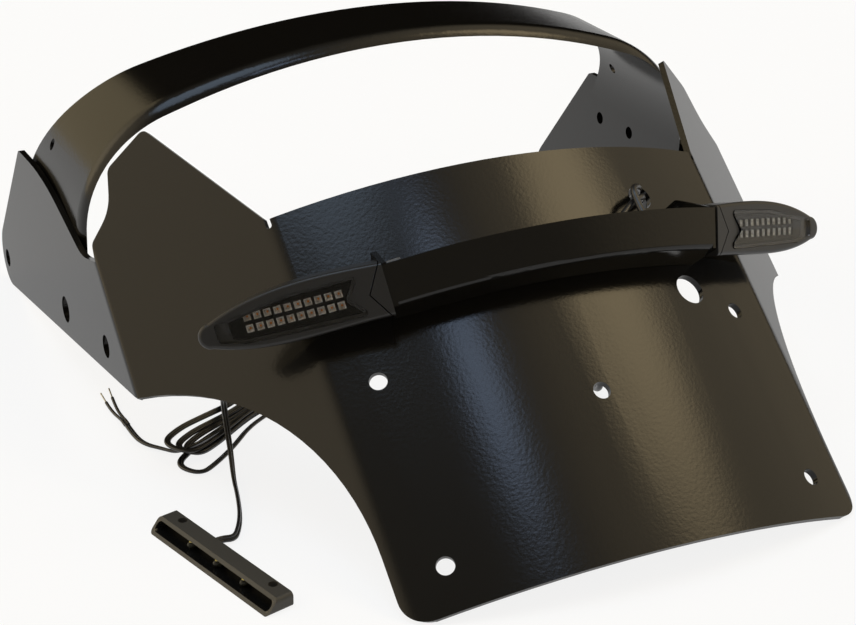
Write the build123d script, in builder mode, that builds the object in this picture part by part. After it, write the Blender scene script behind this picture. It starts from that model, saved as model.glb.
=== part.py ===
from build123d import *
from math import acos, asin, cos, degrees, radians, sin, sqrt, tan
import os

# A tail tidy for a motorcycle, standing on a table as sold. +X is to the right seen from behind, +Y is
# forward, +Z is up and the origin is on the table under the middle of the whole set. Lengths are in mm.

# Where the bracket stands, and how its plate panel leans
stand_x = 4.35
stand_y = -160.05
stand_z = 2.473
stand_tilt = 0.453
panel_back = 59.46
panel_height = 55.40
panel_slope = 38.2

# Sheet and folds
sheet = 2.5
plate_dx = 146.05
plate_dy = 69.85
plate_hole = 6.5
arch_radius = 215.0
arch_angle = 23.7
soft_radius = 16.0
wing_angle = 45.5
bend_radius = 4.0
half_width = 140.4
fold_reach = 3.0

# Panel edges, up the panel from the upper plate holes
panel_top = 73.5
panel_bottom = -86.0
panel_edge = -1.4
panel_corner = 10.0
sweep_start = -60.0
sweep_radius = 102.0
cap_extra = 4.0
centre_gap = 0.9

# Wing outline: its root from the soft bend, the rest inward from the fold, and up the panel
wing_root = (-2.6, 72.7)
wing_apex = (36.5, 135.0)
wing_shoulder = (16.9, 128.3)
wing_waist = (12.4, 112.0)
wing_heel = (0.9, 103.5)
wing_radii = (3.0, 4.0, 18.0, 4.0, 3.0)
fold_top = 98.0
notch_width = 2.2
notch_depth = 3.5

# Side plate outline, forward and up from the foot of its fold
fold_head = 95.9
side_dip = (66.0, 31.1)
side_hump = (122.0, 45.2)
side_shoulder = (161.5, 43.6)
side_nose = (232.7, -38.0)
side_radii = (13.9, 3.0, 150.0, 28.0)
side_holes = ((200.8, -20.8, 8.0), (98.0, -4.5, 11.0), (38.3, 4.5, 9.0))

# Other panel holes
middle_hole = (0.0, -25.4, 6.5)
panel_cable_hole = (55.0, 9.5, 12.0)
band_cable_hole = (50.5, 50.3, 10.0)

# Hoop
hoop_top = 136.9
hoop_radius = 308.0
hoop_corner = 58.3
hoop_rear = (199.0, 45.0)
hoop_lean = 6.5
hoop_front_top = (230.0, 143.6)
hoop_front_waist = (247.0, 113.0)
hoop_front_foot = (297.5, 45.0)
hoop_radii = (150.0, 9.0)
roll_radius = 10.0
lip_drop = 4.0
lip_radius = 300.0
lip_corner = 50.0
tab_holes = ((253.9, 88.0, 4.5), (270.2, 58.4, 5.7), (243.2, 59.4, 5.7))

# Light bar, measured from the arch's axis and up the panel
bar_sheet = 2.0
bar_angle = 16.6
bar_top = (21.7, 31.5)
bar_foot = (14.1, 18.5)
bar_flange_up = 20.0
bar_ear = (7.0, 44.5)
bar_bend = 2.5
weld_gap = 0.2

# Turn signals
stud_standoff = 9.3
stud_up = 30.0
stud_radius = 4.0
stud_bore = 1.8
stud_length = 15.0
stud_clearance = 0.25
nut_across = 13.0
nut_height = 5.0
washer_radius = 7.0
washer_height = 1.2
signal_front = 10.6
signal_back = 4.2
signal_sweep = 8.0
signal_high = ((0.0, 8.5), (26.0, 10.6), (50.0, 8.9), (63.0, 5.2))
signal_low = ((0.0, -10.5), (26.0, -9.7), (54.4, -6.6), (63.0, -3.8))
signal_tip = (67.4, 1.4)
signal_round = 1.4
foot_apex = (6.5, -1.2)
foot_gap = 0.4
lens_in_high = (8.8, 6.6)
lens_vee = (14.0, -0.8)
lens_in_low = (7.4, -7.9)
lens_low = (51.8, -5.0)
lens_out_low = (60.8, -2.2)
lens_out_high = (60.8, 4.0)
lens_high = (35.0, 7.2)
lens_round = 1.3
lens_proud = 0.9
lens_thick = 1.6
lens_fall = 5.0
lens_gap = 0.2
reflector_thick = 3.0
reflector_inset = 1.2
reflector_end = 7.0
ridge_slope = 0.045
cell_count = 10
cell_pitch = 3.6
cell_start = 17.0
cell_size = 3.0
cell_rise = 2.0
cell_taper = 18.5
board_thick = 1.0
chip_size = 0.7
chip_height = 0.6

# Plate light on the table
lamp_x = -129.1
lamp_y = 57.1
lamp_turn = -74.4
lamp_length = 70.0
lamp_depth = 11.0
lamp_top_depth = 6.3
lamp_height = 5.6
lamp_round = 1.6
lamp_wall = 1.1
lamp_floor = 4.3
lamp_hole = 3.4
lamp_hole_spacing = 53.4
lamp_hole_in = 2.2
led_pitch = 15.6
led_radius = 1.5
led_body = 2.0
led_dome = 1.3
cord_exit = -11.5

# Twin cord of the plate light and leads of the turn signals
cord_radius = 1.3
core_radius = 0.65
tip_radius = 0.35
tip_length = 8.5
hank_x = -94.0
hank_y = 144.5
hank_turn = 32.0
hank_length = 64.0
hank_width = 20.0
hank_height = 5.2
hank_round = 2.4
hank_corner = 5.0
hank_entry = 24.0
hank_exit = -24.5
cord_stub = 3.5
cord_near = ((-123.6, 70.2), (-120.4, 75.0), (-116.4, 84.0), (-112.4, 98.0), (-109.9, 109.0))
cord_over = ((-106.6, 121.0), (-102.9, 135.5), (-97.2, 155.5))
cord_far = ((-93.2, 167.4), (-88.4, 171.2))
cord_turn = 4.5
tail_stub = 3.5
core_stub = 4.0
tail_run = ((-127.0, 143.2), (-131.4, 148.4), (-133.3, 156.0), (-133.3, 166.7))
core_gap = 0.7
bend_share = 0.45
core_a_run = ((-132.6, 174.0), (-132.9, 182.0), (-131.6, 192.5))
core_b_run = ((-134.0, 174.0), (-135.2, 182.0), (-135.0, 189.5))

# Leads of the turn signals: out of the studs, through the band's cable hole, down to the table behind it
lead_radius = 1.3
lead_seat = 3.0
lead_stub = 5.0
lead_split = 1.9
lead_inside = 10.0
right_lead_rise = ((224.5, 10.7, 34.5), (223.4, 10.8, 41.5), (223.2, 11.0, 49.8))
left_lead_rise = (
    (222.8, -9.0, 28.2), (220.8, -6.0, 26.0), (219.8, -2.6, 25.0), (219.6, 0.9, 25.8), (219.9, 4.2, 28.6),
    (220.3, 7.0, 33.4), (220.6, 9.0, 39.2), (220.8, 10.8, 44.6))
lead_turn = (219.6, 13.0)
right_lead_fall = (
    (46.9, 105.4, 81.0), (46.0, 107.6, 72.0), (45.4, 108.7, 61.0), (45.2, 109.3, 49.0), (45.3, 109.6, 37.0),
    (45.8, 109.4, 25.0), (46.4, 109.0, 14.0), (47.6, 112.0, 5.0), (50.0, 122.0, 1.3), (53.0, 133.0, 1.3),
    (57.5, 143.0, 1.3))
left_lead_fall = (
    (46.6, 102.4, 79.0), (44.9, 104.2, 70.0), (43.5, 105.2, 59.0), (42.5, 105.8, 47.0), (41.9, 106.1, 35.0),
    (41.5, 106.4, 23.5), (40.9, 107.2, 13.0), (39.8, 110.8, 4.8), (37.6, 120.0, 1.3), (34.2, 131.0, 1.3),
    (29.6, 140.0, 1.3))

os.makedirs("parts", exist_ok=True)
centre = Vector(stand_x, stand_y, 0)
across = Vector(1, 0, 0)
forward = Vector(0, cos(radians(stand_tilt)), -sin(radians(stand_tilt)))
upward = Vector(0, sin(radians(stand_tilt)), cos(radians(stand_tilt)))
body_origin = centre + Vector(0, 0, stand_z)
up = forward * cos(radians(panel_slope)) + upward * sin(radians(panel_slope))
out = upward * cos(radians(panel_slope)) - forward * sin(radians(panel_slope))
panel = Plane(origin=body_origin + forward * panel_back + upward * panel_height, x_dir=across, z_dir=out)
mirror_plane = Plane(origin=centre, z_dir=across)
arch_depth = sqrt(arch_radius ** 2 - (plate_dx / 2) ** 2)
fold_x = arch_radius * sin(radians(arch_angle))
fold_x += soft_radius * (sin(radians(wing_angle)) - sin(radians(arch_angle)))
fold_h = arch_radius * cos(radians(arch_angle)) - arch_depth
fold_h -= soft_radius * (cos(radians(arch_angle)) - cos(radians(wing_angle)))
wing_run = (half_width - bend_radius * (1 - sin(radians(wing_angle))) - fold_x) / cos(radians(wing_angle))
wing_width = (half_width - fold_x) / cos(radians(wing_angle))
sweep_angle = degrees(acos(1 - (wing_width - panel_edge) / sweep_radius))
fold_foot = sweep_start + sweep_radius * sin(radians(sweep_angle))
fold_drop = fold_h - wing_width * sin(radians(wing_angle))
cap_reach = panel_corner + cap_extra
centre_half = fold_x - panel_corner - centre_gap


def on_panel(x, rise, height):
    return panel.from_local_coords(Vector(x, rise, height))


def on_arch(radius, angle, rise):
    return on_panel(radius * sin(radians(angle)), rise, radius * cos(radians(angle)) - arch_depth)


def arch_plane(x, rise):
    angle = asin(x / arch_radius)
    normal = across * sin(angle) + out * cos(angle)
    along = across * cos(angle) - out * sin(angle)
    return Plane(origin=on_arch(arch_radius, degrees(angle), rise), x_dir=along, z_dir=normal)


def on_fold(rise):
    ahead = panel_back + rise * cos(radians(panel_slope)) - fold_drop * sin(radians(panel_slope))
    return ahead, panel_height + rise * sin(radians(panel_slope)) + fold_drop * cos(radians(panel_slope))


def from_toe(point):
    toe = on_fold(fold_foot)
    return toe[0] + point[0], toe[1] + point[1]


nose_x = from_toe(side_nose)[0] - panel_back
nose_z = from_toe(side_nose)[1] - panel_height
wing_reach = nose_x * cos(radians(panel_slope)) + nose_z * sin(radians(panel_slope))
side_depth = nose_x * sin(radians(panel_slope)) - nose_z * cos(radians(panel_slope))


def fold_line(inset):
    arch = JernArc((0, arch_radius - arch_depth - inset), (1, 0), arch_radius - inset, -arch_angle)
    soft = JernArc(arch @ 1, arch % 1, soft_radius - inset, arch_angle - wing_angle)
    wing = Line(soft @ 1, soft @ 1 + (soft % 1) * wing_run)
    bend = JernArc(wing @ 1, wing % 1, bend_radius - inset, wing_angle - 90)
    side = Line(bend @ 1, bend @ 1 + (bend % 1) * side_depth)
    return arch @ 0, side @ 1


# Main bracket: one folded sheet, cut to the outlines of its panel, wings and side plates
section_plane = Plane(origin=on_panel(0, wing_reach, 0), x_dir=across, z_dir=-up)
wing_plane = Plane(
    origin=on_panel(fold_x, 0, fold_h),
    x_dir=across * cos(radians(wing_angle)) - out * sin(radians(wing_angle)),
    z_dir=across * sin(radians(wing_angle)) + out * cos(radians(wing_angle)),
)
side_plane = Plane(origin=body_origin + across * half_width, x_dir=forward, z_dir=across)
fold_shift = (-fold_reach * sin(radians(panel_slope)), fold_reach * cos(radians(panel_slope)))

with BuildPart() as bracket_outline:
    with BuildSketch(wing_plane):
        with BuildLine():
            corner = FilletPolyline(
                (-cap_reach, panel_bottom), (panel_edge, panel_bottom), (panel_edge, sweep_start),
                radius=panel_corner)
            swoop = JernArc(corner @ 1, (0, 1), sweep_radius, -sweep_angle)
            crown = [wing_heel, wing_waist, wing_shoulder, wing_apex]
            crown = [(wing_width - inward, rise) for inward, rise in crown]
            top = FilletPolyline(swoop @ 1, (wing_width, fold_top), *crown, wing_root, radius=wing_radii)
            Polyline(top @ 1, (wing_root[0], panel_top), (-cap_reach, panel_top), corner @ 0)
        make_face()
    extrude(amount=cap_reach, both=True)
    with BuildSketch(side_plane):
        with BuildLine():
            outline = [from_toe(point) for point in (side_nose, side_shoulder, side_hump, side_dip)]
            edge = FilletPolyline(on_fold(fold_foot), *outline, on_fold(fold_head), radius=side_radii)
            Polyline(edge @ 1, edge @ 1 + Vector(*fold_shift), edge @ 0 + Vector(*fold_shift), edge @ 0)
        make_face()
    extrude(amount=2 * sheet, both=True)
    mirror(about=mirror_plane)
    with BuildSketch(panel):
        with Locations((0, (panel_top + panel_bottom) / 2)):
            Rectangle(2 * centre_half, panel_top - panel_bottom)
    extrude(amount=4 * cap_reach, both=True)

with BuildPart() as main_bracket:
    with BuildSketch(section_plane):
        with BuildLine():
            outer = fold_line(0)
            inner = fold_line(sheet)
            Line(outer[0], inner[0])
            Line(outer[1], inner[1])
        make_face()
    extrude(amount=wing_reach - panel_bottom + cap_reach)
    mirror(about=mirror_plane)
    add(bracket_outline.part, mode=Mode.INTERSECT)
    with BuildSketch(wing_plane):
        with Locations((wing_root[0], panel_top - notch_depth + notch_width / 2)):
            Circle(notch_width / 2)
        with Locations((wing_root[0], panel_top)):
            Rectangle(notch_width, 2 * notch_depth - notch_width)
    notch = extrude(amount=2 * sheet, both=True, mode=Mode.PRIVATE)
    add(notch, mode=Mode.SUBTRACT)
    add(mirror(notch, about=mirror_plane, mode=Mode.PRIVATE), mode=Mode.SUBTRACT)
    plate_holes = [(side * plate_dx / 2, rise, plate_hole) for side in (-1, 1) for rise in (0, -plate_dy)]
    for x, rise, bore in plate_holes + [middle_hole, panel_cable_hole, band_cable_hole]:
        with BuildSketch(arch_plane(x, rise)):
            Circle(bore / 2)
        extrude(amount=2 * sheet, both=True, mode=Mode.SUBTRACT)
    for ahead, height, bore in side_holes:
        with BuildSketch(side_plane):
            with Locations(from_toe((ahead, height))):
                Circle(bore / 2)
        extrude(amount=-2 * half_width, mode=Mode.SUBTRACT)

# Hoop: arched band between the side plates, its rear edge rolled inward into a lip that runs out on the legs
leg_x = half_width - sheet
hoop_plane = Plane(origin=body_origin, x_dir=across, z_dir=-forward)
profile_plane = Plane(origin=body_origin, x_dir=forward, z_dir=across)
hoop_back = Plane(
    origin=body_origin + forward * hoop_rear[0] + upward * hoop_rear[1],
    x_dir=across,
    z_dir=forward * cos(radians(hoop_lean)) + upward * sin(radians(hoop_lean)),
)


def arch_line(top, radius, corner, reach):
    angle = degrees(asin((reach - corner) / (radius - corner)))
    crown = JernArc((0, top), (1, 0), radius, -angle)
    bend = JernArc(crown @ 1, crown % 1, corner, angle - 90)
    foot = Line(bend @ 1, (reach, 0))
    Polyline(foot @ 1, (0, 0), (0, top))


def hoop_block(inset):
    with BuildPart() as block:
        with BuildSketch(hoop_plane):
            with BuildLine():
                arch_line(hoop_top - inset, hoop_radius - inset, hoop_corner - inset, leg_x - inset)
            make_face()
        extrude(amount=-hoop_front_foot[0])
        mirror(about=mirror_plane)
        back = hoop_back.offset(inset)
        split(bisect_by=back, keep=Keep.TOP)
        rear = faces().filter_by(lambda face: abs(back.to_local_coords(face.center()).Z) < 0.01)
        ridge = [edge for edge in rear.edges() if edge.center().Z > body_origin.Z + fold_reach]
        fillet(ridge, radius=roll_radius - inset)
    return block.part


with BuildPart() as hoop:
    add(hoop_block(0))
    add(hoop_block(sheet), mode=Mode.SUBTRACT)
    with BuildSketch(hoop_plane):
        with BuildLine():
            arch_line(hoop_top - lip_drop, lip_radius, lip_corner, leg_x - sheet)
        make_face()
    lip_side = extrude(amount=-hoop_front_foot[0], mode=Mode.PRIVATE)
    add(lip_side, mode=Mode.SUBTRACT)
    add(mirror(lip_side, about=mirror_plane, mode=Mode.PRIVATE), mode=Mode.SUBTRACT)
    with BuildSketch(profile_plane):
        with BuildLine():
            edge = FilletPolyline(
                hoop_front_top, hoop_front_waist, hoop_front_foot, (0, hoop_front_foot[1]),
                radius=hoop_radii)
            Polyline(edge @ 1, (0, hoop_front_top[1]), edge @ 0)
        make_face()
    extrude(amount=half_width, both=True, mode=Mode.INTERSECT)
    for ahead, height, bore in tab_holes:
        with BuildSketch(profile_plane):
            with Locations((ahead, height)):
                Circle(bore / 2)
        extrude(amount=half_width, both=True, mode=Mode.SUBTRACT)

# Light bar: folded tray that follows the arch, open at its top
arch_axis = Axis(on_panel(0, 0, -arch_depth), up)
bar_inner = arch_radius + weld_gap
bar_face = ((arch_radius + bar_top[0], bar_top[1]), (arch_radius + bar_foot[0], bar_foot[1]))
bar_flange = (bar_inner, bar_flange_up)
stud_spot = (arch_radius + stud_standoff, stud_up)


def bar_end(side):
    angle = radians(side * bar_angle)
    return Plane(origin=on_panel(0, 0, -arch_depth), x_dir=out * cos(angle) + across * sin(angle),
                 z_dir=out * sin(angle) - across * cos(angle))


with BuildPart() as light_bar:
    with BuildSketch(bar_end(-1)):
        with BuildLine():
            fold = FilletPolyline(*bar_face, bar_flange, radius=bar_bend)
            offset(fold, amount=bar_sheet, side=Side.RIGHT)
        make_face()
    revolve(axis=arch_axis, revolution_arc=2 * bar_angle)
    for side in (-1, 1):
        with BuildSketch(bar_end(side)):
            with BuildLine():
                ear = FilletPolyline(
                    bar_face[1], bar_face[0], (arch_radius + bar_ear[0], bar_ear[1]),
                    (bar_inner, bar_ear[1]), radius=(bar_bend, bar_bend))
                Polyline(ear @ 1, bar_flange, ear @ 0)
            make_face()
            with Locations(stud_spot):
                Circle(stud_radius + stud_clearance, mode=Mode.SUBTRACT)
        extrude(amount=side * bar_sheet)

# Turn signal: foot, housing, lens, reflector and light board, built on the right and mirrored to the left
end_angle = radians(bar_angle)
radial = out * cos(end_angle) + across * sin(end_angle)
outward = across * cos(end_angle) - out * sin(end_angle)
lean = Vector(bar_top[0] - bar_foot[0], bar_top[1] - bar_foot[1], 0).normalized()
rise = radial * lean.X + up * lean.Y
front = radial * lean.Y - up * lean.X
signal_origin = on_arch(stud_spot[0], bar_angle, stud_up)
signal_seat = Plane(origin=signal_origin, x_dir=rise, z_dir=outward)
sweep_back = radians(signal_sweep)
signal_face = Plane(
    origin=signal_origin + front * signal_front,
    x_dir=outward * cos(sweep_back) - front * sin(sweep_back),
    z_dir=front * cos(sweep_back) + outward * sin(sweep_back),
)
signal_rear = Plane(origin=signal_origin - front * signal_back, x_dir=outward, z_dir=front)
signal_depth = 2 * (signal_front + signal_back)


with BuildSketch() as lens_shape:
    with BuildLine():
        FilletPolyline(lens_in_high, lens_high, lens_out_high, lens_out_low, lens_low, lens_in_low, lens_vee,
                       close=True, radius=lens_round)
    make_face()

with BuildSketch() as pocket_shape:
    add(lens_shape.sketch)
    offset(amount=-reflector_inset, mode=Mode.REPLACE)
    with Locations((signal_high[-1][0], 0)):
        Rectangle(2 * reflector_end, signal_depth, mode=Mode.SUBTRACT)

with BuildSketch() as reflector_shape:
    add(pocket_shape.sketch)
    offset(amount=-lens_gap, mode=Mode.REPLACE)

with BuildPart() as signal_body:
    with BuildSketch(signal_face):
        with BuildLine():
            high = Spline(*signal_high)
            low = Spline(*signal_low)
            ThreePointArc(high @ 1, signal_tip, low @ 1)
            Line(high @ 0, low @ 0)
        make_face()
        fillet(vertices().group_by(Axis.X)[-1], radius=signal_round)
    extrude(amount=-signal_depth)
    split(bisect_by=signal_rear, keep=Keep.TOP)
    split(bisect_by=signal_seat, keep=Keep.TOP)
    rims = [edge for edge in edges() if signal_seat.to_local_coords(edge.center()).Z > signal_round]
    faces_across = [edge for edge in rims if abs(signal_face.to_local_coords(edge.center()).Z) < 0.1]
    fillet(faces_across, radius=signal_round)

with BuildPart() as foot_wedge:
    with BuildSketch(signal_face):
        foot_high = signal_high[0][1] + signal_round
        foot_low = signal_low[0][1] - signal_round
        Polygon((-signal_back, foot_high), (0, foot_high), foot_apex, (0, foot_low),
                (-signal_back, foot_low), align=None)
    extrude(amount=signal_depth, both=True)

with BuildPart() as signal_foot:
    add(signal_body.part)
    add(foot_wedge.part, mode=Mode.INTERSECT)

with BuildPart() as signal_housing:
    add(signal_body.part)
    add(offset(foot_wedge.part, amount=foot_gap, mode=Mode.PRIVATE), mode=Mode.SUBTRACT)
    with BuildSketch(signal_face):
        add(lens_shape.sketch)
        offset(amount=lens_gap, mode=Mode.REPLACE)
    extrude(amount=-lens_thick - lens_gap, mode=Mode.SUBTRACT)
    with BuildSketch(signal_face):
        add(pocket_shape.sketch)
    extrude(amount=-lens_thick - reflector_thick - board_thick - 3 * lens_gap, mode=Mode.SUBTRACT)

with BuildPart() as signal_lens:
    with BuildSketch(signal_face):
        add(lens_shape.sketch)
    extrude(amount=lens_proud)
    extrude(signal_lens.faces().sort_by(Axis(signal_face.origin, signal_face.z_dir))[0], amount=lens_thick)
    ridge_start = signal_face.from_local_coords(Vector(lens_vee[0], lens_vee[1], lens_proud))
    lens_end = (lens_out_high[1] + lens_out_low[1]) / 2
    ridge_end = signal_face.from_local_coords(Vector(lens_out_high[0], lens_end, lens_proud))
    ridge = (ridge_end - ridge_start).normalized()
    for turn in (lens_fall, -lens_fall):
        tilted = signal_face.z_dir.rotate(Axis((0, 0, 0), ridge), turn)
        facet = Plane(origin=ridge_start, x_dir=ridge, z_dir=tilted)
        split(bisect_by=facet, keep=Keep.BOTTOM)

reflector_plane = signal_face.offset(-lens_thick - lens_gap)
board_plane = reflector_plane.offset(-reflector_thick - lens_gap)
cells = [(cell_start + i * cell_pitch, row) for row in (-cell_rise, cell_rise) for i in range(cell_count)]
cells = [(x, row + lens_vee[1] + x * ridge_slope) for x, row in cells]


with BuildPart() as signal_reflector:
    with BuildSketch(reflector_plane):
        add(reflector_shape.sketch)
    extrude(amount=-reflector_thick)
    with BuildSketch(reflector_plane):
        with Locations(*cells):
            Rectangle(cell_size, cell_size)
    extrude(amount=-reflector_thick, taper=cell_taper, mode=Mode.SUBTRACT)

with BuildPart() as signal_board:
    with BuildSketch(board_plane):
        add(reflector_shape.sketch)
    extrude(amount=-board_thick)
    with BuildSketch(board_plane):
        with Locations(*cells):
            Rectangle(chip_size, chip_size)
    extrude(amount=chip_height)

with BuildPart() as signal_stud:
    with BuildSketch(signal_seat):
        Circle(stud_radius)
        Circle(stud_bore, mode=Mode.SUBTRACT)
    extrude(amount=-stud_length)

with BuildPart() as signal_washer:
    with BuildSketch(signal_seat.offset(-bar_sheet)):
        Circle(washer_radius)
        Circle(stud_radius + stud_clearance, mode=Mode.SUBTRACT)
    extrude(amount=-washer_height)

with BuildPart() as signal_nut:
    with BuildSketch(signal_seat.offset(-bar_sheet - washer_height)):
        RegularPolygon(nut_across / 2, 6, major_radius=False)
        Circle(stud_radius + stud_clearance, mode=Mode.SUBTRACT)
    extrude(amount=-nut_height)

# Plate light: slim wedge with an open sloping front, lying on the table
lamp_way = Vector(cos(radians(lamp_turn)), sin(radians(lamp_turn)), 0)
lamp_rear = Vector(-lamp_way.Y, lamp_way.X, 0)
lamp_origin = centre + Vector(lamp_x, lamp_y, 0)
lamp_section = Plane(origin=lamp_origin, x_dir=lamp_rear, z_dir=lamp_way)
lamp_middle = Vector(0, 0, lamp_height / 2)
lamp_pocket = Plane(
    origin=lamp_origin - lamp_rear * lamp_floor + lamp_middle, x_dir=lamp_way, z_dir=-lamp_rear)
led_spots = [(step * led_pitch, 0) for step in (-1, 0, 1)]
with BuildPart() as plate_light_housing:
    with BuildSketch(lamp_section):
        Polygon((0, 0), (0, lamp_height), (-lamp_top_depth, lamp_height), (-lamp_depth, 0), align=None)
    extrude(amount=lamp_length / 2, both=True)
    ends = faces().sort_by(Axis(lamp_origin, lamp_way))
    rims = [edge for face in (ends[0], ends[-1]) for edge in face.edges()]
    fillet([edge for edge in rims if abs(edge.center().Z - lamp_middle.Z) > 0.1], radius=lamp_round)
    with BuildSketch(lamp_pocket):
        RectangleRounded(lamp_length - 2 * lamp_wall, lamp_height - 2 * lamp_wall, lamp_round)
    extrude(amount=lamp_depth, mode=Mode.SUBTRACT)
    with BuildSketch(Plane(origin=lamp_origin - lamp_rear * lamp_hole_in, x_dir=lamp_way, z_dir=(0, 0, 1))):
        with GridLocations(lamp_hole_spacing, 0, 2, 1):
            Circle(lamp_hole / 2)
    extrude(amount=lamp_height, mode=Mode.SUBTRACT)

with BuildPart() as plate_light_leds:
    with BuildSketch(lamp_pocket):
        with Locations(*led_spots):
            Circle(led_radius)
    extrude(amount=led_body)
    fillet(edges().group_by(Axis(lamp_pocket.origin, lamp_pocket.z_dir))[-1], radius=led_dome)


# Cords: tubes along straight runs with round bends between them
def bend_radii(points):
    radii = []
    for before, here, after in zip(points, points[1:], points[2:]):
        into = Vector(here) - Vector(before)
        away = Vector(after) - Vector(here)
        half_turn = radians(into.get_angle(away)) / 2
        radii.append(round(bend_share * min(into.length, away.length) / tan(half_turn), 3))
    return radii


def tube(points, radius):
    with BuildPart() as piece:
        with BuildLine():
            run = FilletPolyline(*points, radius=bend_radii(points))
        with BuildSketch(Plane(origin=run @ 0, z_dir=run % 0)):
            Circle(radius)
        sweep()
    print(len(points), "points, radii", min(bend_radii(points)), "length", round(run.length, 1))
    return piece.part


def on_table(points, height):
    return [centre + Vector(x, y, height) for x, y in points]


hank_way = Vector(cos(radians(hank_turn)), sin(radians(hank_turn)), 0)
hank_plane = Plane(origin=centre + Vector(hank_x, hank_y, 0), x_dir=hank_way)
with BuildPart() as plate_light_hank:
    with BuildSketch(hank_plane):
        RectangleRounded(hank_length, hank_width, hank_corner)
    extrude(amount=hank_height)
    fillet(edges().group_by(Axis.Z)[-1], radius=hank_round)

cord_exit_point = lamp_origin + lamp_way * cord_exit + lamp_middle
cord_lift = hank_height + cord_radius + weld_gap
cord_points = [cord_exit_point, cord_exit_point + lamp_rear * cord_stub]
cord_points += on_table(cord_near, cord_radius) + on_table(cord_over, cord_lift)
cord_points += on_table(cord_far, cord_radius)
for reach in (cord_turn, 0):
    cord_points.append(hank_plane.from_local_coords(Vector(hank_entry, hank_width / 2 + reach, cord_radius)))
tail_points = []
for reach in (0, tail_stub):
    tail_points.append(hank_plane.from_local_coords(Vector(hank_exit, hank_width / 2 + reach, cord_radius)))
tail_points += on_table(tail_run, cord_radius)
plate_light_cord = tube(cord_points, cord_radius)
plate_light_tail = tube(tail_points, cord_radius)
core_a_start = [tail_points[-1] + Vector(core_gap, reach, 0) for reach in (0, core_stub)]
core_b_start = [tail_points[-1] + Vector(-core_gap, reach, 0) for reach in (0, core_stub)]
core_a = tube(core_a_start + on_table(core_a_run, core_radius), core_radius)
core_b = tube(core_b_start + on_table(core_b_run, core_radius), core_radius)

with BuildPart() as core_tips:
    for core in (core_a_run, core_b_run):
        into, end = on_table(core[-2:], core_radius)
        with BuildSketch(Plane(origin=end, z_dir=end - into)):
            Circle(tip_radius)
        extrude(amount=tip_length)

hole_angle = degrees(asin(band_cable_hole[0] / arch_radius))


def lead(side, rise, split, fall):
    angle = radians(side * bar_angle)
    inward = out * sin(angle) * side - across * cos(angle) * side
    seat = on_arch(stud_spot[0], side * bar_angle, stud_up)
    points = [seat + inward * (stud_length - lead_seat), seat + inward * (stud_length + lead_stub)]
    points += [on_arch(*spot) for spot in rise]
    up_hole = band_cable_hole[1] + split
    points.append(on_arch(*lead_turn, up_hole))
    points += [on_arch(arch_radius - reach, hole_angle, up_hole) for reach in (sheet, lead_inside)]
    points += [centre + Vector(*spot) for spot in fall]
    return tube(points, lead_radius)


right_lead = lead(1, right_lead_rise, lead_split, right_lead_fall)
left_lead = lead(-1, left_lead_rise, -lead_split, left_lead_fall)

signal_pieces = (signal_foot, signal_housing, signal_lens, signal_reflector, signal_board, signal_stud,
                 signal_washer, signal_nut)
signal_names = ("foot", "housing", "lens", "reflector", "light_board", "stud", "washer", "nut")
named = [("main_bracket", main_bracket.part), ("hoop", hoop.part), ("light_bar", light_bar.part)]
for piece, name in zip(signal_pieces, signal_names):
    named.append(("right_signal_" + name, piece.part))
    named.append(("left_signal_" + name, mirror(piece.part, about=mirror_plane)))
named += [("plate_light_housing", plate_light_housing.part), ("plate_light_leds", plate_light_leds.part),
          ("plate_light_cord", plate_light_cord), ("plate_light_hank", plate_light_hank.part),
          ("plate_light_tail", plate_light_tail), ("plate_light_core_a", core_a),
          ("plate_light_core_b", core_b), ("plate_light_core_tips", core_tips.part),
          ("right_signal_lead", right_lead), ("left_signal_lead", left_lead)]
for name, piece in named:
    piece.label = name
    export_step(piece, "parts/" + name + ".step")
    box = piece.bounding_box()
    print(name, len(piece.solids()), round(piece.volume, 1), [round(v, 2) for v in (*box.min, *box.max)])
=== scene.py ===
import bmesh
import bpy
import numpy as np
from mathutils import Matrix


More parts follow.
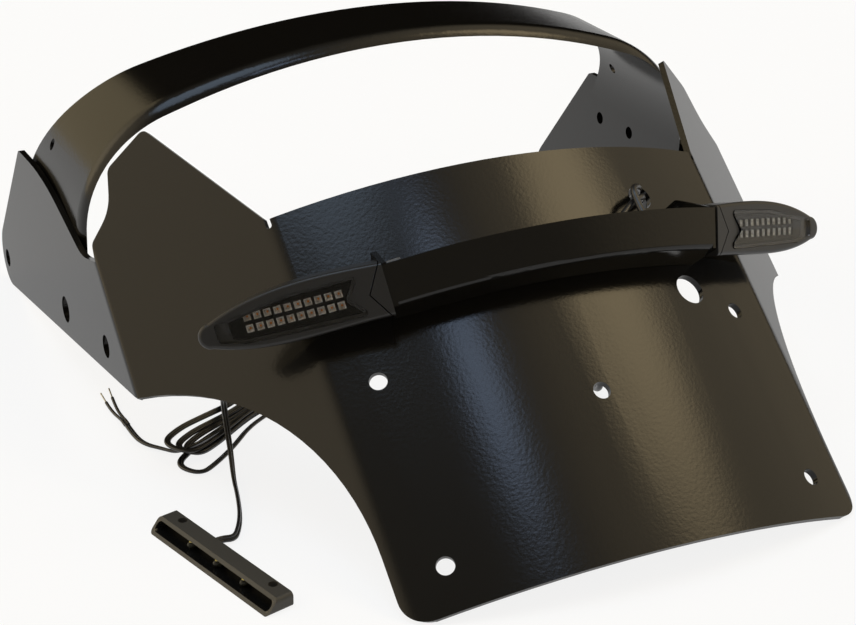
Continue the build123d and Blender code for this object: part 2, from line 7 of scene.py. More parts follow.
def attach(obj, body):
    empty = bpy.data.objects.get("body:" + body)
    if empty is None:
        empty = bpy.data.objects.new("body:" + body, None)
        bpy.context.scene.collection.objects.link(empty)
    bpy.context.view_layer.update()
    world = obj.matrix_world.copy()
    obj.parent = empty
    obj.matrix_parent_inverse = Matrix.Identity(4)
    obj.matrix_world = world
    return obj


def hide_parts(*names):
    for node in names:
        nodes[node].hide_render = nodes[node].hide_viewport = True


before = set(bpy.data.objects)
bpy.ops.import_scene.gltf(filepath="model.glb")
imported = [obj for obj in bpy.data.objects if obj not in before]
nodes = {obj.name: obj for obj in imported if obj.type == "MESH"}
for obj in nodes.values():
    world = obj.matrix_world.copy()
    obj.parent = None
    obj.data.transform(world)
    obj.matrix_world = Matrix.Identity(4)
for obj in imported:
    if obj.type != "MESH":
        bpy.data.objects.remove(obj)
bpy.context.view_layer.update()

# Folded bracket, hoop and light bar: steel sheet cut, folded and welded, then powder coated in one go.
# The coat is brown-black and glossy, with the pebbled skin that powder leaves when it melts and flows.
# Seen at a low angle the pebbles scatter part of the light, so the sheen there is weaker.
def surface_grain():
    """A skin of small bumps: one noise gives their height, a broader one a slow change of tone."""
    group = bpy.data.node_groups.new("surface_grain", "ShaderNodeTree")
    group.interface.new_socket("Scale", in_out="INPUT", socket_type="NodeSocketFloat")
    for name in ("Height", "Tone"):
        group.interface.new_socket(name, in_out="OUTPUT", socket_type="NodeSocketFloat")
    inputs = group.nodes.new("NodeGroupInput")
    outputs = group.nodes.new("NodeGroupOutput")
    place = group.nodes.new("ShaderNodeTexCoord")
    bumps = group.nodes.new("ShaderNodeTexNoise")
    bumps.inputs["Detail"].default_value = 1.5
    patches = group.nodes.new("ShaderNodeTexNoise")
    patches.inputs["Detail"].default_value = 3.0
    patches.inputs["Scale"].default_value = 40.0
    group.links.new(inputs.outputs["Scale"], bumps.inputs["Scale"])
    for name, noise in (("Height", bumps), ("Tone", patches)):
        group.links.new(place.outputs["Object"], noise.inputs["Vector"])
        group.links.new(noise.outputs["Fac"], outputs.inputs[name])
    return group


grain_group = surface_grain()


def finish_of(name, dark, light, rough, scale, depth):
    """A material whose colour drifts between two tones and whose grain has its own scale and depth."""
    material = bpy.data.materials.new(name)
    material.use_nodes = True
    tree = material.node_tree
    shader = tree.nodes["Principled BSDF"]
    shader.inputs["Roughness"].default_value = rough
    grain = tree.nodes.new("ShaderNodeGroup")
    grain.node_tree = grain_group
    grain.inputs["Scale"].default_value = scale
    tone = tree.nodes.new("ShaderNodeMix")
    tone.data_type = "RGBA"
    tone.inputs["A"].default_value = (*dark, 1)
    tone.inputs["B"].default_value = (*light, 1)
    bump = tree.nodes.new("ShaderNodeBump")
    bump.inputs["Strength"].default_value = 1.0
    bump.inputs["Distance"].default_value = depth
    tree.links.new(grain.outputs["Tone"], tone.inputs["Factor"])
    tree.links.new(tone.outputs["Result"], shader.inputs["Base Color"])
    tree.links.new(grain.outputs["Height"], bump.inputs["Height"])
    tree.links.new(bump.outputs["Normal"], shader.inputs["Normal"])
    return material, tree, shader


def dress(material, *names):
    """Gives each named CAD node this material alone."""
    for name in names:
        nodes[name].data.materials.clear()
        nodes[name].data.materials.append(material)


coat, tree, shader = finish_of(
    "powder_coat", (0.0040, 0.0036, 0.0030), (0.0052, 0.0047, 0.0040), 0.17, 760.0, 0.00003)
shader.inputs["Specular IOR Level"].default_value = 0.30
facing = tree.nodes.new("ShaderNodeLayerWeight")
scatter = tree.nodes.new("ShaderNodeMapRange")
scatter.inputs["From Min"].default_value = 0.45
scatter.inputs["From Max"].default_value = 0.80
scatter.inputs["To Max"].default_value = 0.38
matt = tree.nodes.new("ShaderNodeBsdfDiffuse")
matt.inputs["Color"].default_value = (0.006, 0.0055, 0.005, 1)
skin = tree.nodes.new("ShaderNodeMixShader")
tree.links.new(facing.outputs["Facing"], scatter.inputs["Value"])
tree.links.new(scatter.outputs["Result"], skin.inputs["Fac"])
tree.links.new(shader.outputs["BSDF"], skin.inputs[1])
tree.links.new(matt.outputs["BSDF"], skin.inputs[2])
tree.links.new(skin.outputs["Shader"], tree.nodes["Material Output"].inputs["Surface"])
dress(coat, "main_bracket", "hoop", "light_bar")

# Turn signals: charcoal moulded housings on hollow zinc studs, with clear lenses glued in.
# Behind each lens a black frame holds two rows of bright cells over a board with amber light chips.
# A nut and washer on each stud clamp the signal to the end flange of the bar.
charcoal, _, shader = finish_of(
    "signal_housing", (0.011, 0.011, 0.012), (0.017, 0.017, 0.018), 0.36, 2600.0, 0.000012)
shader.inputs["Specular IOR Level"].default_value = 0.35
clear = bpy.data.materials.new("signal_lens")
clear.use_nodes = True
shader = clear.node_tree.nodes["Principled BSDF"]
shader.inputs["Base Color"].default_value = (0.93, 0.93, 0.92, 1)
shader.inputs["Roughness"].default_value = 0.02
shader.inputs["Transmission Weight"].default_value = 1.0
shader.inputs["IOR"].default_value = 1.18
zinc, _, shader = finish_of("zinc_steel", (0.40, 0.40, 0.42), (0.52, 0.52, 0.54), 0.34, 900.0, 0.00001)
shader.inputs["Metallic"].default_value = 1.0


def flat_front(node):
    """The normal of a node's largest flat, turned to the rear, and how far the node reaches along it."""
    mesh = node.data
    normals = np.empty(3 * len(mesh.polygons))
    areas = np.empty(len(mesh.polygons))
    points = np.empty(3 * len(mesh.vertices))
    mesh.polygons.foreach_get("normal", normals)
    mesh.polygons.foreach_get("area", areas)
    mesh.vertices.foreach_get("co", points)
    normals = normals.reshape(-1, 3)
    _, which = np.unique(normals.round(2), axis=0, return_inverse=True)
    which = which.ravel()
    largest = which == np.bincount(which, areas).argmax()
    normal = (normals[largest] * areas[largest, None]).sum(0)
    normal *= -np.sign(normal[1]) / np.linalg.norm(normal)
    return normal, (points.reshape(-1, 3) @ normal).max()


def layered(name, normal, level, above, below, metal, rough):
    """Two finishes on one piece, parted by a plane: plain in front of the level, and behind it a colour
    broken into small cells of painted glints, brighter at each cell's middle and darker towards its rim.
    """
    material = bpy.data.materials.new(name)
    material.use_nodes = True
    tree = material.node_tree
    shader = tree.nodes["Principled BSDF"]
    shader.inputs["Roughness"].default_value = rough
    shader.inputs["Specular IOR Level"].default_value = 0.2
    edge = 0.00002
    place = tree.nodes.new("ShaderNodeTexCoord")
    depth = tree.nodes.new("ShaderNodeVectorMath")
    depth.operation = "DOT_PRODUCT"
    depth.inputs[1].default_value = normal
    mask = tree.nodes.new("ShaderNodeMapRange")
    mask.inputs["From Min"].default_value = level - edge
    mask.inputs["From Max"].default_value = level + edge
    tone = tree.nodes.new("ShaderNodeMix")
    tone.data_type = "RGBA"
    tone.inputs["B"].default_value = (*above, 1)
    # Painted glints: a pattern of small cells, each brighter at its middle and darker at its rim, standing
    # in for light caught by facets
    glint_facets = tree.nodes.new("ShaderNodeTexVoronoi")
    glint_facets.inputs["Scale"].default_value = 1100.0
    painted_glint = tree.nodes.new("ShaderNodeMapRange")
    painted_glint.inputs["From Max"].default_value = 0.9
    painted_glint.inputs["To Min"].default_value = 1.15
    painted_glint.inputs["To Max"].default_value = 0.45
    glinted_colour = tree.nodes.new("ShaderNodeVectorMath")
    glinted_colour.operation = "SCALE"
    glinted_colour.inputs[0].default_value = below
    shine = tree.nodes.new("ShaderNodeMapRange")
    shine.inputs["To Min"].default_value = metal[1]
    shine.inputs["To Max"].default_value = metal[0]
    tree.links.new(place.outputs["Object"], depth.inputs[0])
    tree.links.new(place.outputs["Object"], glint_facets.inputs["Vector"])
    tree.links.new(glint_facets.outputs["Distance"], painted_glint.inputs["Value"])
    tree.links.new(painted_glint.outputs["Result"], glinted_colour.inputs["Scale"])
    tree.links.new(glinted_colour.outputs["Vector"], tone.inputs["A"])
    tree.links.new(depth.outputs["Value"], mask.inputs["Value"])
    tree.links.new(mask.outputs["Result"], tone.inputs["Factor"])
    tree.links.new(mask.outputs["Result"], shine.inputs["Value"])
    tree.links.new(tone.outputs["Result"], shader.inputs["Base Color"])
    tree.links.new(shine.outputs["Result"], shader.inputs["Metallic"])
    return material


frame_lip = 0.0007
chip_height = 0.0006
chip_foot = 0.00006
frame_black = (0.003, 0.003, 0.003)
cell_silver = (0.95, 0.95, 0.94)
chip_amber = (0.70, 0.28, 0.06)
board_white = (0.90, 0.90, 0.90)
for side in ("left", "right"):
    signal = side + "_signal_"
    dress(charcoal, signal + "foot", signal + "housing")
    dress(clear, signal + "lens")
    dress(zinc, signal + "stud", signal + "washer", signal + "nut")
    # The silver cells behind the black frame and the white board round the chips both carry the painted
    # glints of layered()
    normal, front = flat_front(nodes[signal + "reflector"])
    level = front - frame_lip
    cells = layered(side + "_cells", normal, level, frame_black, cell_silver, (0, 0.2), 0.14)
    dress(cells, signal + "reflector")
    normal, front = flat_front(nodes[signal + "light_board"])
    level = front - chip_height + chip_foot
    board = layered(side + "_board", normal, level, chip_amber, board_white, (0, 0), 0.3)
    dress(board, signal + "light_board")

# Leads of the turn signals: two-core black sheath out of each stud, up through the hole in the band
# above the bar, and down behind the panel to the table, where both end cut and bare.
# All places are in mm, from the spot on the table under the middle of the bracket.
stand = np.array((4.35, -160.05, 0.0))
lead_diameter = 0.0026
panel_lean = np.radians(38.2)
stand_lean = np.radians(0.453)
ahead = np.array((0, np.cos(stand_lean), -np.sin(stand_lean)))
above = np.array((0, np.sin(stand_lean), np.cos(stand_lean)))
up_panel = ahead * np.cos(panel_lean) + above * np.sin(panel_lean)
off_panel = above * np.cos(panel_lean) - ahead * np.sin(panel_lean)
stand_height = np.array((0, 0, 2.473))
panel_spot = stand + stand_height + ahead * 59.46 + above * 55.40
arch_radius = 215.0
plate_holes_apart = 146.05
arch_depth = np.sqrt(arch_radius ** 2 - (plate_holes_apart / 2) ** 2)
across = np.array((1.0, 0, 0))


def on_arch(radius, angle, rise):
    """A place given by its distance from the arch's axis, its angle round it and its rise up the panel."""
    turn = np.radians(angle)
    height = radius * np.cos(turn) - arch_depth
    return panel_spot + across * radius * np.sin(turn) + up_panel * rise + off_panel * height


def route_curve(name, points, diameter):
    """A smooth cord: a NURBS spline that has the route's points, in mm, as its control points."""
    curve = bpy.data.curves.new(name, "CURVE")
    curve.dimensions = "3D"
    curve.resolution_u = 8
    curve.bevel_depth = diameter / 2
    curve.bevel_resolution = 5
    curve.use_fill_caps = True
    spline = curve.splines.new("NURBS")
    spline.points.add(len(points) - 1)
    weighted = np.ones((len(points), 4))
    weighted[:, :3] = np.asarray(points) / 1000
    spline.points.foreach_set("co", weighted.ravel())
    spline.order_u = 3
    spline.use_endpoint_u = True
    cord = bpy.data.objects.new(name, curve)
    bpy.context.scene.collection.objects.link(cord)
    return cord


sheath, _, shader = finish_of(
    "cord_sheath", (0.010, 0.010, 0.011), (0.015, 0.015, 0.016), 0.34, 1500.0, 0.00001)
bar_angle = 16.6
stud_radius = arch_radius + 9.3
stud_rise = 30.0
stud_inner_end = 12.0
lead_straight = 8.0
sheet_thick = 2.5
hole_side = 50.5
hole_rise = 50.3
hole_angle = np.degrees(np.arcsin(hole_side / arch_radius))
lead_split = 1.9
lead_inside = 10.0
before_hole = (219.6, 13.0)
lead_rises = {
    "right": ((224.5, 10.7, 34.5), (223.4, 10.8, 41.5), (223.2, 11.0, 49.8)),
    "left": (
        (222.8, -9.0, 28.2), (220.8, -6.0, 26.0), (219.8, -2.6, 25.0), (219.6, 0.9, 25.8),
        (219.9, 4.2, 28.6), (220.3, 7.0, 33.4), (220.6, 9.0, 39.2), (220.8, 10.8, 44.6)),
}
lead_falls = {
    "right": (
        (46.9, 105.4, 81.0), (46.0, 107.6, 72.0), (45.4, 108.7, 61.0), (45.2, 109.3, 49.0),
        (45.3, 109.6, 37.0), (45.8, 109.4, 25.0), (46.4, 109.0, 14.0), (47.6, 112.0, 5.0),
        (50.0, 122.0, 1.3), (53.0, 133.0, 1.3), (57.5, 143.0, 1.3)),
    "left": (
        (46.6, 102.4, 79.0), (44.9, 104.2, 70.0), (43.5, 105.2, 59.0), (42.5, 105.8, 47.0),
        (41.9, 106.1, 35.0), (41.5, 106.4, 23.5), (40.9, 107.2, 13.0), (39.8, 110.8, 4.8),
        (37.6, 120.0, 1.3), (34.2, 131.0, 1.3), (29.6, 140.0, 1.3)),
}
for side, sign in (("left", -1), ("right", 1)):
    tilt = np.radians(bar_angle)
    inward = off_panel * np.sin(tilt) - across * sign * np.cos(tilt)
    seat = on_arch(stud_radius, sign * bar_angle, stud_rise)
    route = [seat + inward * reach for reach in (stud_inner_end, stud_inner_end + lead_straight)]
    route += [on_arch(*spot) for spot in lead_rises[side]]
    up_hole = hole_rise + sign * lead_split
    route.append(on_arch(*before_hole, up_hole))
    route += [on_arch(arch_radius - reach, hole_angle, up_hole) for reach in (sheet_thick, lead_inside)]
    route += [stand + np.array(spot) for spot in lead_falls[side]]
    lead = route_curve(side + "_lead", route, lead_diameter)
    lead.data.materials.append(sheath)
    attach(lead, "root")
    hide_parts(side + "_signal_lead")

# Plate light: slim moulded housing with a dark open front, three clear domes over yellow chips.
# The pocket behind the front is glossy black, and the outside is matt grey-olive plastic.
# It lies loose on the table beside the bracket, tied to nothing but its own cord.
lamp_turn = np.radians(-74.4)
lamp_way = np.array((np.cos(lamp_turn), np.sin(lamp_turn), 0))
lamp_rear = np.array((-lamp_way[1], lamp_way[0], 0))
lamp_spot = stand + np.array((-129.1, 57.1, 0))
lamp_middle = np.array((0, 0, 2.8))
floor_depth = 4.3
pocket_half = (0.0339, 0.0050, 0.00172)
lamp, tree, shader = finish_of(
    "plate_light", (0.030, 0.029, 0.026), (0.042, 0.040, 0.035), 0.55, 3000.0, 0.000012)
pocket_middle = lamp_spot + lamp_middle - lamp_rear * (floor_depth + 1000 * pocket_half[1])
place = tree.nodes.new("ShaderNodeTexCoord")
local = tree.nodes.new("ShaderNodeMapping")
local.vector_type = "TEXTURE"
local.inputs["Location"].default_value = pocket_middle / 1000
local.inputs["Rotation"].default_value = (0, 0, lamp_turn)
local.inputs["Scale"].default_value = pocket_half
offset = tree.nodes.new("ShaderNodeVectorMath")
offset.operation = "ABSOLUTE"
axes = tree.nodes.new("ShaderNodeSeparateXYZ")
level_reach = tree.nodes.new("ShaderNodeMath")
level_reach.operation = "MAXIMUM"
full_reach = tree.nodes.new("ShaderNodeMath")
full_reach.operation = "MAXIMUM"
inside = tree.nodes.new("ShaderNodeMath")
inside.operation = "LESS_THAN"
inside.inputs[1].default_value = 1.0
black = tree.nodes.new("ShaderNodeMix")
black.data_type = "RGBA"
black.inputs["B"].default_value = (0.004, 0.004, 0.004, 1)
gloss = tree.nodes.new("ShaderNodeMapRange")
gloss.inputs["To Min"].default_value = 0.55
gloss.inputs["To Max"].default_value = 0.18
tree.links.new(place.outputs["Object"], local.inputs["Vector"])
tree.links.new(local.outputs["Vector"], offset.inputs[0])
tree.links.new(offset.outputs["Vector"], axes.inputs["Vector"])
tree.links.new(axes.outputs["X"], level_reach.inputs[0])
tree.links.new(axes.outputs["Y"], level_reach.inputs[1])
tree.links.new(level_reach.outputs["Value"], full_reach.inputs[0])
tree.links.new(axes.outputs["Z"], full_reach.inputs[1])
tree.links.new(full_reach.outputs["Value"], inside.inputs[0])
tree.links.new(shader.inputs["Base Color"].links[0].from_socket, black.inputs["A"])
tree.links.new(inside.outputs["Value"], black.inputs["Factor"])
tree.links.new(black.outputs["Result"], shader.inputs["Base Color"])
tree.links.new(inside.outputs["Value"], gloss.inputs["Value"])
tree.links.new(gloss.outputs["Result"], shader.inputs["Roughness"])
dress(lamp, "plate_light_housing")


def surface_mesh(name, grids):
    """Joins rows of points into quads and welds the seams: each grid has rows of one length."""
    points = []
    faces = []
    for grid in grids:
        rows, columns = grid.shape[:2]
        start = sum(len(part) for part in points)
        corner = start + np.arange(rows - 1)[:, None] * columns + np.arange(columns - 1)[None, :]
        quads = np.stack((corner, corner + columns, corner + columns + 1, corner + 1), -1)
        faces.append(quads.reshape(-1, 4))
        points.append(grid.reshape(-1, 3))
    mesh = bpy.data.meshes.new(name)
    mesh.from_pydata(np.concatenate(points).tolist(), [], np.concatenate(faces).tolist())
    shell = bmesh.new()
    shell.from_mesh(mesh)
    bmesh.ops.remove_doubles(shell, verts=shell.verts, dist=0.000001)
    shell.to_mesh(mesh)
    shell.free()
    mesh.polygons.foreach_set("use_smooth", np.ones(len(mesh.polygons), dtype=bool))
    piece = bpy.data.objects.new(name, mesh)
    bpy.context.scene.collection.objects.link(piece)
    return piece


def dome_grid(middle, forward, radius, length):
    """A round dome: the radius shrinks as the cosine of an angle whose sine gives the reach forward."""
    lift = np.linspace(0, np.pi / 2, 9)[:, None, None]
    round_angle = np.linspace(0, 2 * np.pi, 25)[None, :, None]
    sideways = np.cross(forward, (0, 0, 1.0))
    ring = sideways * np.cos(round_angle) + np.array((0, 0, 1.0)) * np.sin(round_angle)
    return (middle + ring * radius * np.cos(lift) + forward * length * np.sin(lift)) / 1000


led_radius = 1.75
led_length = 3.6
led_pitch = 15.6
led_height = np.array((0, 0, 2.55))
# The clear domes are drawn opaque. They are painted dark, with painted glints, where the black pocket
# would show through them, and painted yellow above a level on top, where the phosphor chip would show
# through
painted_chip_level = 0.0037
painted_chip_yellow = (0.75, 0.66, 0.24)
painted_pocket_dark = (0.030, 0.030, 0.024)
led_spot = lamp_spot - lamp_rear * floor_depth + led_height
led_spots = [led_spot + lamp_way * led_pitch * place for place in (-1, 0, 1)]
grids = [dome_grid(spot, -lamp_rear, led_radius, led_length) for spot in led_spots]
domes = surface_mesh("light_domes", grids)
dome = layered("plate_light_dome", (0, 0, 1), painted_chip_level, painted_chip_yellow, painted_pocket_dark, (0, 0), 0.06)
domes.data.materials.append(dome)
dress(dome, "plate_light_leds")
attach(domes, "root")
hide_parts("plate_light_leds")

# Cord of the plate light: flat twin flex out of the housing's rear, over its own hank and into it.
# The hank is loose turns of different sizes, fanned at the left, and its last run leaves as the tail.
# At its end the sheath stops and the two cores part, each with a bare tinned tip.
cord_width = 0.0026
core_diameter = 0.0013
exit_side = 11.5
exit_straight = 3.5
on_table = 1.3
cord_exit = lamp_spot + lamp_middle - lamp_way * exit_side
table_run = ((-123.6, 70.2), (-120.4, 75.0), (-116.4, 84.0), (-112.4, 98.0), (-109.9, 109.0))
crossing = ((-106.6, 121.0, 6.0), (-102.9, 135.5, 8.6), (-97.2, 155.5, 8.6))
into_hank = ((-93.2, 167.4, 4.5), (-88.4, 171.2, 2.0))
hank_turn = np.radians(32.0)
hank_way = np.array((np.cos(hank_turn), np.sin(hank_turn), 0))
hank_side = np.array((-hank_way[1], hank_way[0], 0))
hank_spot = stand + np.array((-94.0, 144.5, 0))
bunch_middle = 5.5


def in_hank(along, off, height):
    """A place in the hank, whose strands draw together where they go in under the panel."""
    bunch = np.interp(along, (-14.0, 2.0, 10.0, 26.0), (1.0, 0.7, 0.6, 1.0))
    off = bunch_middle + (off - bunch_middle) * bunch
    return hank_spot + hank_way * along + hank_side * off + np.array((0, 0, height))


# Each turn: its left end and the two strands there, its right end and the two strands there, its height
turns = (
    (-35.5, -9.6, 5.6, 28.0, 0.4, 9.8, 1.0),
    (-28.5, -2.2, 11.8, 29.0, 1.0, 11.4, 3.8),
    (-31.0, -1.2, 16.0, 31.0, 2.0, 16.4, 5.2),
    (-26.0, -0.8, 9.2, 28.0, 1.6, 11.6, 2.4),
)
strand_lift = 0.2
route = [cord_exit, cord_exit + lamp_rear * exit_straight]
route += [stand + np.array((x, y, on_table)) for x, y in table_run]
route += [stand + np.array(spot) for spot in crossing + into_hank]
route += [in_hank(27.0, 18.5, 1.4), in_hank(31.0, 9.5, 1.2), in_hank(27.0, 1.0, 1.0)]
for left, left_low, left_high, right, right_low, right_high, height in turns:
    for share in (0.15, 0.38, 0.62, 0.83):
        spot = right + (left - right) * share
        route.append(in_hank(spot, right_low + (left_low - right_low) * share, height))
    for off in (0.06, 0.86):
        route.append(in_hank(left, left_low + (left_high - left_low) * off, height))
    for share in (0.2, 0.42, 0.65, 0.84):
        spot = left + (right - left) * share
        route.append(in_hank(spot, left_high + (right_high - left_high) * share, height + strand_lift))
    for off in (0.95, 0.05):
        route.append(in_hank(right, right_low + (right_high - right_low) * off, height))
last_run = ((18.0, 1.6, 2.4), (2.0, 5.0, 2.6), (-14.0, 4.6, 3.0), (-24.0, 5.6, 3.0), (-29.0, 9.0, 2.0))
route += [in_hank(*spot) for spot in last_run]
tail_run = ((-127.0, 143.2), (-131.4, 148.4), (-133.3, 156.0), (-133.3, 166.7))
route += [stand + np.array((x, y, on_table)) for x, y in tail_run]
guide = route_curve("cord_line", route, 0.0)
evaluated = bpy.context.evaluated_depsgraph_get()
line_mesh = bpy.data.meshes.new_from_object(guide.evaluated_get(evaluated))
line = np.empty(3 * len(line_mesh.vertices))
line_mesh.vertices.foreach_get("co", line)
line = line.reshape(-1, 3)
bpy.data.meshes.remove(line_mesh)
bpy.data.objects.remove(guide)


def twin_flex(name, line, width, core, roll):
    """The outline of two round cores side by side, carried along a line and rolled about it.

    At angle t round the line the outline is c |cos t| + sqrt(r^2 - c^2 sin^2 t) away, for cores of
    radius r whose middles lie c to each side.
    """
    around = np.linspace(0, 2 * np.pi, 24, endpoint=False)
    radius = core / 2 + 0.00003
    apart = width / 2 - radius
    outline = apart * np.abs(np.cos(around)) + np.sqrt(radius ** 2 - (apart * np.sin(around)) ** 2)
    along = np.gradient(line, axis=0)
    along /= np.linalg.norm(along, axis=1, keepdims=True)
    level = np.cross((0, 0, 1.0), along)
    level /= np.linalg.norm(level, axis=1, keepdims=True)
    rise = np.cross(along, level)
    wide = level * np.cos(roll)[:, None] + rise * np.sin(roll)[:, None]
    thin = np.cross(along, wide)
    rings = line[:, None] + wide[:, None] * (outline * np.cos(around))[None, :, None]
    rings = rings + thin[:, None] * (outline * np.sin(around))[None, :, None]
    count, sides = rings.shape[:2]
    row = np.arange(count - 1)[:, None] * sides
    here = np.arange(sides)[None, :]
    there = (here + 1) % sides
    quads = np.stack((row + here, row + there, row + sides + there, row + sides + here), axis=-1)
    caps = [tuple(range(sides))[::-1], tuple(range((count - 1) * sides, count * sides))]
    mesh = bpy.data.meshes.new(name)
    mesh.from_pydata(rings.reshape(-1, 3).tolist(), [], quads.reshape(-1, 4).tolist() + caps)
    mesh.polygons.foreach_set("use_smooth", np.ones(len(mesh.polygons), dtype=bool))
    flex = bpy.data.objects.new(name, mesh)
    bpy.context.scene.collection.objects.link(flex)
    return flex


roll_middle = 46
roll_swing = 26
roll_wave = 0.021
flatter_in_hank = 0.55
run = np.concatenate(((0.0,), np.cumsum(np.linalg.norm(np.diff(line, axis=0), axis=1))))
in_turns = np.interp(run, (0.10, 0.14, run[-1] - 0.09, run[-1] - 0.05), (0, 1, 1, 0))
roll = np.radians(roll_middle + roll_swing * np.sin(run / roll_wave)) * (1 - flatter_in_hank * in_turns)
flex = twin_flex("twin_cord", line, cord_width, core_diameter, roll)
flex.data.materials.append(sheath)
tail_end = stand + np.array((*tail_run[-1], on_table))
core_gap = np.array((0.7, 0, 0))
core_stub = np.array((0, 4.0, 0))
core_height = 0.65
core_runs = {
    "a": (1, ((-132.6, 174.0), (-132.9, 182.0), (-131.6, 192.5))),
    "b": (-1, ((-134.0, 174.0), (-135.2, 182.0), (-135.0, 189.5))),
}
for name, (sign, spots) in core_runs.items():
    points = [tail_end + sign * core_gap, tail_end + sign * core_gap + core_stub]
    points += [stand + np.array((x, y, core_height)) for x, y in spots]
    core = route_curve("core_" + name, points, core_diameter)
    core.data.materials.append(sheath)
    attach(core, "root")
    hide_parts("plate_light_core_" + name)
tinned, _, shader = finish_of("bare_wire", (0.55, 0.54, 0.50), (0.75, 0.74, 0.70), 0.30, 4000.0, 0.00003)
shader.inputs["Metallic"].default_value = 1.0
dress(tinned, "plate_light_core_tips")
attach(flex, "root")
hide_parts("plate_light_cord", "plate_light_hank", "plate_light_tail")

# Studio: a pale table, soft lamps overhead and at the right, warm walls and a dark far side.
# The table is white to the eye, to mirrors and through the lenses alike, with a trace of shadow left.
# The camera stands behind and to the left, looking down, as in the photograph.
table_reach = 8.0
floor = bpy.data.meshes.new("table")
corners = table_reach * np.array(((-1, -1, 0), (1, -1, 0), (1, 1, 0), (-1, 1, 0)))
floor.from_pydata(corners.tolist(), [], [(0, 1, 2, 3)])
table = bpy.data.objects.new("table", floor)
bpy.context.scene.collection.objects.link(table)
pale = bpy.data.materials.new("table")
pale.use_nodes = True
shader = pale.node_tree.nodes["Principled BSDF"]
shader.inputs["Base Color"].default_value = (0.93, 0.93, 0.93, 1)
shader.inputs["Roughness"].default_value = 0.9
shader.inputs["Specular IOR Level"].default_value = 0.1
tree = pale.node_tree
seen = tree.nodes.new("ShaderNodeLightPath")
plain = tree.nodes.new("ShaderNodeEmission")
plain.inputs["Color"].default_value = (1, 1, 1, 1)
mirrored = tree.nodes.new("ShaderNodeMath")
through = tree.nodes.new("ShaderNodeMath")
plain_share = tree.nodes.new("ShaderNodeMath")
plain_share.operation = "MULTIPLY"
plain_share.inputs[1].default_value = 0.85
white = tree.nodes.new("ShaderNodeMixShader")
tree.links.new(seen.outputs["Is Camera Ray"], mirrored.inputs[0])
tree.links.new(seen.outputs["Is Glossy Ray"], mirrored.inputs[1])
tree.links.new(mirrored.outputs["Value"], through.inputs[0])
tree.links.new(seen.outputs["Is Transmission Ray"], through.inputs[1])
tree.links.new(through.outputs["Value"], plain_share.inputs[0])
tree.links.new(plain_share.outputs["Value"], white.inputs["Fac"])
tree.links.new(shader.outputs["BSDF"], white.inputs[1])
tree.links.new(plain.outputs["Emission"], white.inputs[2])
tree.links.new(white.outputs["Shader"], tree.nodes["Material Output"].inputs["Surface"])
floor.materials.append(pale)


def soft_lamp():
    """Light from one side of the room: full near its axis, fading smoothly to nothing at its rim."""
    group = bpy.data.node_groups.new("soft_lamp", "ShaderNodeTree")
    for name, kind in (("Direction", "Vector"), ("Axis", "Vector"), ("Rim", "Float"), ("Full", "Float")):
        group.interface.new_socket(name, in_out="INPUT", socket_type="NodeSocket" + kind)
    group.interface.new_socket("Light", in_out="INPUT", socket_type="NodeSocketColor")
    group.interface.new_socket("Light", in_out="OUTPUT", socket_type="NodeSocketColor")
    inputs = group.nodes.new("NodeGroupInput")
    outputs = group.nodes.new("NodeGroupOutput")
    facing = group.nodes.new("ShaderNodeVectorMath")
    facing.operation = "DOT_PRODUCT"
    fade = group.nodes.new("ShaderNodeMapRange")
    fade.interpolation_type = "SMOOTHSTEP"
    glow = group.nodes.new("ShaderNodeVectorMath")
    glow.operation = "SCALE"
    group.links.new(inputs.outputs["Direction"], facing.inputs[0])
    group.links.new(inputs.outputs["Axis"], facing.inputs[1])
    group.links.new(facing.outputs["Value"], fade.inputs["Value"])
    group.links.new(inputs.outputs["Rim"], fade.inputs["From Min"])
    group.links.new(inputs.outputs["Full"], fade.inputs["From Max"])
    group.links.new(inputs.outputs["Light"], glow.inputs[0])
    group.links.new(fade.outputs["Result"], glow.inputs["Scale"])
    group.links.new(glow.outputs["Vector"], outputs.inputs["Light"])
    return group


lamp_group = soft_lamp()
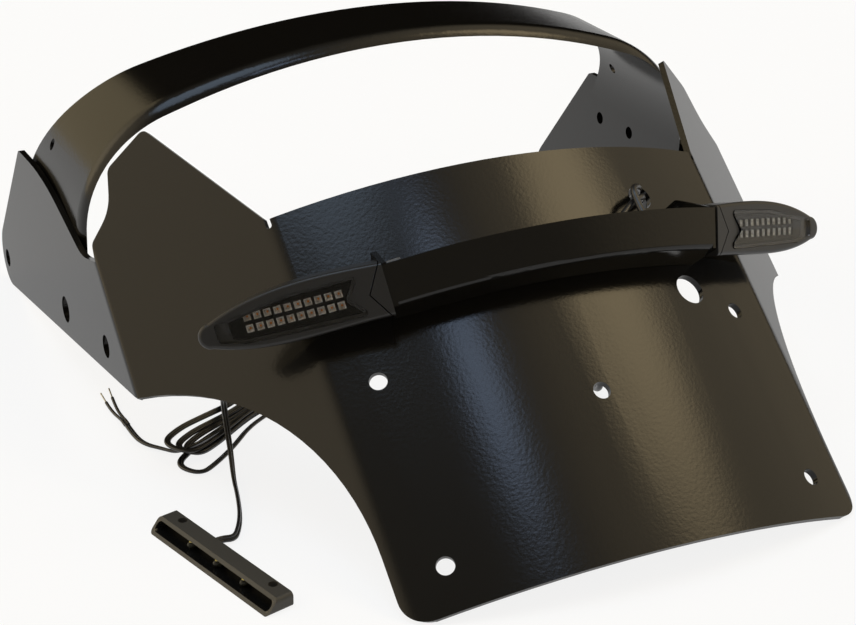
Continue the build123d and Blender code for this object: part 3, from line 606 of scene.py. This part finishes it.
# Each lamp: where it hangs, the angles at its rim and where it is full, and its light
lamps = (
    ((-0.35, -0.90, 0.25), 130, 95, (0.25, 0.225, 0.18)),
    ((-0.95, 0.16, 0.27), 55, 20, (1.10, 0.92, 0.64)),
    ((-0.17, 0.09, 0.98), 18.5, 15, (1.9, 2.5, 3.3)),
    ((0.07, -0.285, 0.955), 5.5, 2, (3.2, 4.2, 6.0)),
    ((0.60, -0.12, 0.79), 13, 3, (4.2, 3.3, 1.9)),
    ((0.80, -0.15, 0.58), 50, 30, (0.80, 0.66, 0.44)),
    ((-0.55, 0.76, 0.34), 31, 25, (0.95, 0.78, 0.48)),
)
world = bpy.data.worlds.new("studio")
world.use_nodes = True
tree = world.node_tree
background = tree.nodes["Background"]
direction = tree.nodes.new("ShaderNodeTexCoord")
light = None
for axis, rim, full, colour in lamps:
    one = tree.nodes.new("ShaderNodeGroup")
    one.node_tree = lamp_group
    one.inputs["Axis"].default_value = np.array(axis) / np.linalg.norm(axis)
    one.inputs["Rim"].default_value = np.cos(np.radians(rim))
    one.inputs["Full"].default_value = np.cos(np.radians(full))
    one.inputs["Light"].default_value = (*colour, 1)
    tree.links.new(direction.outputs["Generated"], one.inputs["Direction"])
    if light is None:
        light = one.outputs["Light"]
        continue
    both = tree.nodes.new("ShaderNodeVectorMath")
    both.operation = "ADD"
    tree.links.new(light, both.inputs[0])
    tree.links.new(one.outputs["Light"], both.inputs[1])
    light = both.outputs["Vector"]
tree.links.new(light, background.inputs["Color"])
bpy.context.scene.world = world
bpy.context.scene.view_settings.view_transform = "Standard"
eye = bpy.data.cameras.new("camera")
eye.sensor_width = 36
eye.lens = 79.80
eye.clip_start = 0.01
camera = bpy.data.objects.new("camera", eye)
camera_spot = np.array((-308.47, -475.39, 352.32))
right = np.array((0.90557, -0.42410, 0.01142))
down = np.array((-0.16767, -0.38260, -0.90872))
turn = np.eye(4)
turn[:3, 0] = right
turn[:3, 1] = -down
turn[:3, 2] = np.cross(right, -down)
turn[:3, 3] = (camera_spot + stand) / 1000
camera.matrix_world = Matrix(turn.tolist())
bpy.context.scene.collection.objects.link(camera)
bpy.context.scene.camera = camera
